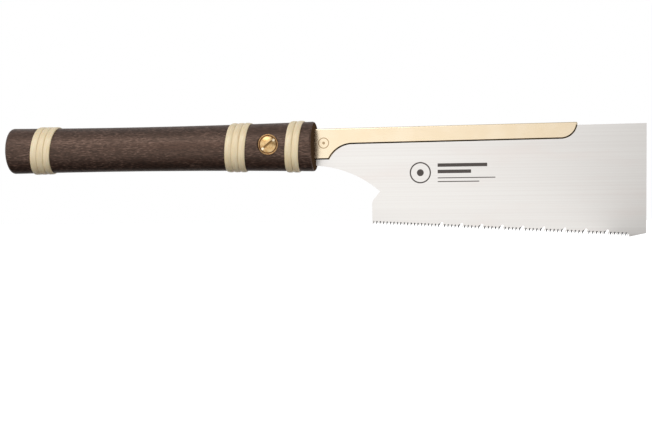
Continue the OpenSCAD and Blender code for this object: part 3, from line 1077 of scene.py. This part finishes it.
def add_world():
    """A white surround, lit as studio_light says and plain white to the camera."""
    world = bpy.data.worlds.new("studio")
    bpy.context.scene.world = world
    world.use_nodes = True
    n = Nodes(world.node_tree)
    light = studio_light(n, n.add("ShaderNodeTexCoord").outputs["Generated"])
    seen = n.add("ShaderNodeLightPath").outputs["Is Camera Ray"]
    strength = n.add("ShaderNodeMix", {0: seen, 2: light, 3: 1.0}, data_type="FLOAT").outputs[0]
    n.tree.links.new(strength, n.tree.nodes["Background"].inputs["Strength"])
    n.tree.nodes["Background"].inputs["Color"].default_value = (1, 1, 1, 1)


def floor_look():
    """Pale floor, with a glow of its own. To the saw it sends the studio's light as an emission,
    except in a painted shade under the saw, wide under the handle and narrow under the blade."""
    look, n, shader = surface("pale_floor", Roughness=0.9)
    shader.inputs["Base Color"].default_value = (0.93, 0.93, 0.93, 1)
    shader.inputs["Emission Color"].default_value = (1, 1, 1, 1)
    shader.inputs["Emission Strength"].default_value = 0.7
    place = n.place()
    centre = (0.46, 0.0, cad_low.z)
    way = n.add("ShaderNodeVectorMath", {0: place, 1: centre}, operation="SUBTRACT").outputs[0]
    way = n.add("ShaderNodeVectorMath", {0: way}, operation="NORMALIZE").outputs[0]
    x, y = n.axes(place)[:2]
    # Painted shade: the floor's emission is cut down under the saw, wide under the handle and narrow
    # under the blade.
    shade_w = n.span(x, 0.23, 0.31, 1.0, 0.15)
    under = n.span(n.math("DIVIDE", n.math("ABSOLUTE", y), shade_w), 0.03, 0.10, 0.02, 1.0)
    glow = n.add("ShaderNodeEmission", {"Strength": n.math("MULTIPLY", under, studio_light(n, way))})
    seen = n.add("ShaderNodeLightPath").outputs["Is Camera Ray"]
    both = n.add("ShaderNodeMixShader", {0: seen, 1: glow.outputs[0], 2: shader.outputs[0]})
    n.tree.links.new(both.outputs[0], n.tree.nodes["Material Output"].inputs["Surface"])
    return look


def add_floor():
    """A wide pale floor just under the lowest tooth."""
    reach = 3000
    gap = 0.3
    z = cad_low.z / MM - gap
    middle = (cad_low.x + cad_high.x) / 2 / MM
    corners = [(middle - reach, -reach, z), (middle + reach, -reach, z),
               (middle + reach, reach, z), (middle - reach, reach, z)]
    floor = mesh_object("floor", corners, [(0, 1, 2, 3)])
    floor.data.materials.append(floor_look())


# Build ---------------------------------------------------------------------------

bpy.context.scene.view_settings.view_transform = "Standard"
add_camera()
add_world()
add_floor()
add_softbox("key", (-0.15, -0.85, 0.75), (0.25, 0, 0), (0.7, 0.5), 2.6)

beech = roasted_beech()
ends = end_grain()
cane = rattan_cane()
brass = sheet_brass()
head_brass = turned_brass("head_brass", rgb("c59e6a"), rgb("dfc08e"))
cup_brass = turned_brass("cup_brass", rgb("a98258"), rgb("c4a074"))
steel = blade_steel()
liner_steel = plain_steel("liner_steel", rgb("b9b4ae"), rgb("8f8a85"))
rivet_steel = plain_steel("rivet_steel", rgb("cfcac4"), rgb("a7a29c"))

wooden_half("near_half_wood", -1, SHANK_R + 0.5, beech, ends, "handle_near_half")
wooden_half("far_half_wood", 1, NUT_R + 0.15, beech, ends, "handle_far_half")
wound_cane("butt_cane", "rattan_wrap_butt", 3, 0.8, math.radians(4), cane)
wound_cane("middle_cane", "rattan_wrap_middle", 3, 0.5, math.radians(2.1), cane)
wound_cane("front_cane", "rattan_wrap_front", 2, 0.5, math.radians(1.7), cane)
slotted_screw(head_brass)
slotted_nut(head_brass)
cup("screw_cup", -1, SHANK_R + 0.3, "cup_washer", cup_brass, "screw_cup_washer")
cup("nut_cup", 1, NUT_R + 0.1, "handle", cup_brass, "nut_cup_washer")
folded_brass(brass, filed_brass())
toothed_blade(steel, filed_steel())
liner_channel(liner_steel)
peened_rivet("upper_rivet", RIVET_V, rivet_steel, "tang_rivet_upper")
peened_rivet("lower_rivet", -RIVET_V, rivet_steel, "tang_rivet_lower")
